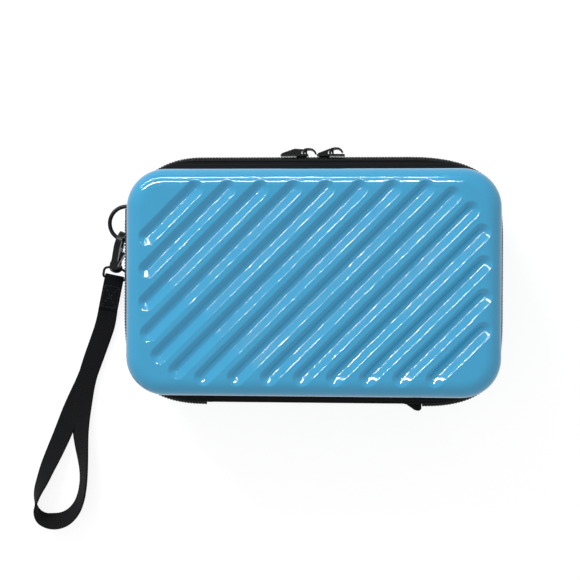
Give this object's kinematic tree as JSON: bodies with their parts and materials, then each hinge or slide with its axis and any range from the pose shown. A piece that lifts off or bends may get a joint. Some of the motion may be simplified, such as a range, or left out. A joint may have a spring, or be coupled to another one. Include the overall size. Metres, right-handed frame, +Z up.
{
  "type": "cosmetic case",
  "caption": "Small hard-shell cosmetic case with slanted grooves, a zipped fabric band, a lid on a fabric hinge, a side ring and a clip-on wrist strap.",
  "frame": {"origin": "centre of the rear shell's resting face", "axes": "+X along the case, away from the ring; +Y from the hinge side to the zip side; +Z up, from the rear shell to the front shell"},
  "size_m": [0.2466, 0.2, 0.0623],
  "materials": {
    "blue_shell": "gloss",
    "lining_cloth": "woven",
    "binding_tape": "woven",
    "band_fabric": "woven",
    "zip_coil": "satin",
    "webbing": "woven",
    "black_metal": "gloss",
    "spring_steel": "satin"
  },
  "bodies": {
    "base": {"rear_shell": "blue_shell", "rear_lining": "lining_cloth", "rear_binding": "binding_tape", "rear_zip_tape": "band_fabric", "rear_zip_coil": "zip_coil", "rear_hinge_leaf": "band_fabric", "ring_tab": "webbing", "zip_end_tab": "band_fabric"},
    "lid": {"front_shell": "blue_shell", "front_lining": "lining_cloth", "front_binding": "binding_tape", "front_zip_tape": "band_fabric", "front_zip_coil": "zip_coil", "front_hinge_leaf": "band_fabric"},
    "slider_left": {"slider_left": "black_metal"},
    "pull_left": {"pull_left": "black_metal"},
    "slider_right": {"slider_right": "black_metal"},
    "pull_right": {"pull_right": "black_metal"},
    "ring": {"d_ring": "black_metal"},
    "hook": {"hook_body": "black_metal", "gate_pin": "black_metal", "gate_spring": "spring_steel"},
    "gate": {"hook_gate": "black_metal"},
    "swivel": {"swivel_eye": "black_metal", "strap_sewn_end": "webbing", "wrist_strap": "webbing"}
  },
  "joints": [
    {"name": "lid_hinge", "type": "hinge", "parent": "base", "child": "lid", "pos_m": [0, -0.0623, 0.031], "axis": [1, 0, 0], "range_deg": [0, 180], "deforming": ["zip_end_tab"]},
    {"name": "zip_left", "type": "slide", "parent": "base", "child": "slider_left", "axis": [1, 0, 0], "range_m": [-0.03, 0]},
    {"name": "zip_right", "type": "slide", "parent": "base", "child": "slider_right", "axis": [1, 0, 0], "range_m": [0, 0.03]},
    {"name": "pull_left_turn", "type": "hinge", "parent": "slider_left", "child": "pull_left", "pos_m": [-0.0059, 0.06555, 0.031], "axis": [0, 0, 1], "range_deg": [0, 120]},
    {"name": "pull_right_turn", "type": "hinge", "parent": "slider_right", "child": "pull_right", "pos_m": [0.0075, 0.06555, 0.031], "axis": [0, 0, 1], "range_deg": [0, 120]},
    {"name": "ring_turn", "type": "hinge", "parent": "base", "child": "ring", "pos_m": [-0.0962, 0.0301, 0.0252], "axis": [0, 1, 0], "range_deg": [-10, 15], "deforming": ["strap_sewn_end", "wrist_strap"]},
    {"name": "hook_swing", "type": "hinge", "parent": "ring", "child": "hook", "pos_m": [-0.10038, 0.02193, 0.0252], "axis": [-0.9397, 0.342, 0], "range_deg": [-18, 25], "deforming": ["strap_sewn_end", "wrist_strap"]},
    {"name": "gate_turn", "type": "hinge", "parent": "hook", "child": "gate", "pos_m": [-0.10325, 0.01404, 0.0124], "axis": [0.9397, -0.342, 0], "range_deg": [0, 25], "stiffness_Nm_per_rad": 0.002, "springref_deg": -17.19, "deforming": ["gate_spring"]},
    {"name": "swivel_turn", "type": "hinge", "parent": "hook", "child": "swivel", "pos_m": [-0.10508, 0.00901, 0.01282], "axis": [-0.2542, -0.6983, -0.6691], "range_deg": [-60, 60], "deforming": ["strap_sewn_end", "wrist_strap"]}
  ]
}
